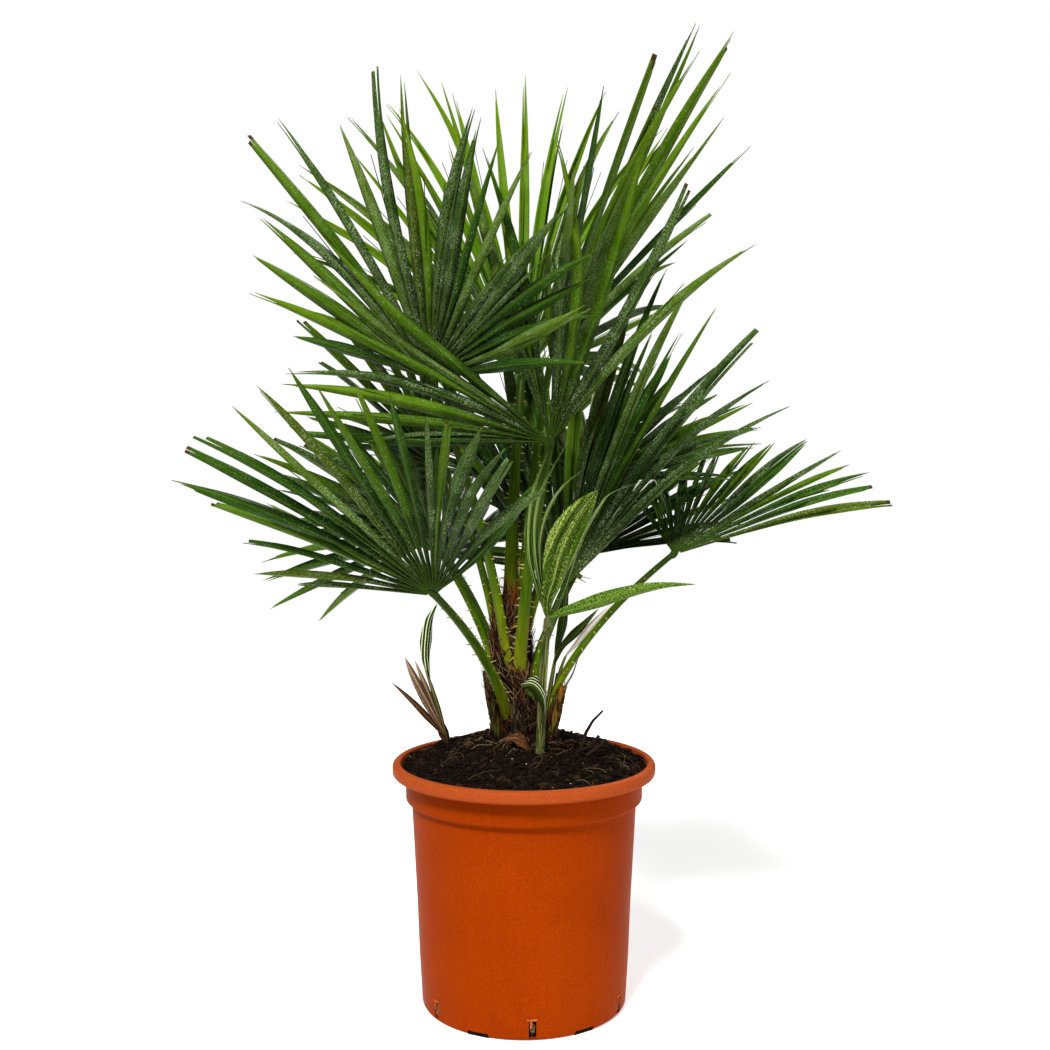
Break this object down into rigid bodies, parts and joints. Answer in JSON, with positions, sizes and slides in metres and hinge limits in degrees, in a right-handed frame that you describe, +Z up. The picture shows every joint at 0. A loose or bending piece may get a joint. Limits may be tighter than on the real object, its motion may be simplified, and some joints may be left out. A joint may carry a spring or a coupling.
{
  "type": "potted fan palm",
  "caption": "Clump of stiff fan-shaped palm leaves on thin stalks and a short fibrous trunk, growing in a round plastic nursery pot.",
  "frame": {"origin": "centre of the pot's flat underside", "axes": "+Z up along the pot's axis, -Y towards the plant's front as pictured, +X to the right of that view"},
  "size_m": [0.6099, 0.5615, 0.8819],
  "materials": {
    "terracotta_plastic": "satin",
    "soil": "rough",
    "bark": "rough",
    "stalk": "satin",
    "leaf": "satin",
    "dark_leaf": "satin",
    "bright_leaf": "satin",
    "young_leaf": "satin",
    "dry_leaf": "matte"
  },
  "bodies": {
    "root": {"pot": "terracotta_plastic", "soil": "soil", "trunk": "bark", "stub_1": "bark", "stub_2": "bark", "stub_3": "bark", "stub_4": "bark", "stub_5": "bark", "sucker": "dry_leaf", "curled_leaf": "young_leaf", "stalk_upper_left": "stalk", "stalk_top_centre": "stalk", "stalk_top_right": "stalk", "stalk_front_left": "stalk", "stalk_right": "stalk", "stalk_lower_right": "stalk", "stalk_front_centre": "stalk", "stalk_left": "stalk", "stalk_back_right": "stalk", "stalk_back": "stalk", "stalk_back_left": "stalk", "stalk_low_back_right": "stalk", "stalk_low_left": "stalk", "stalk_young": "stalk", "fan_young": "young_leaf", "fan_upper_left": "dark_leaf", "fan_top_centre": "bright_leaf", "fan_top_right": "leaf", "fan_front_left": "leaf", "fan_right": "leaf", "fan_lower_right": "leaf", "fan_front_centre": "dark_leaf", "fan_left": "dark_leaf", "fan_back_right": "dark_leaf", "fan_back": "leaf", "fan_back_left": "leaf", "fan_low_back_right": "leaf", "fan_low_left": "dark_leaf"}
  },
  "joints": []
}
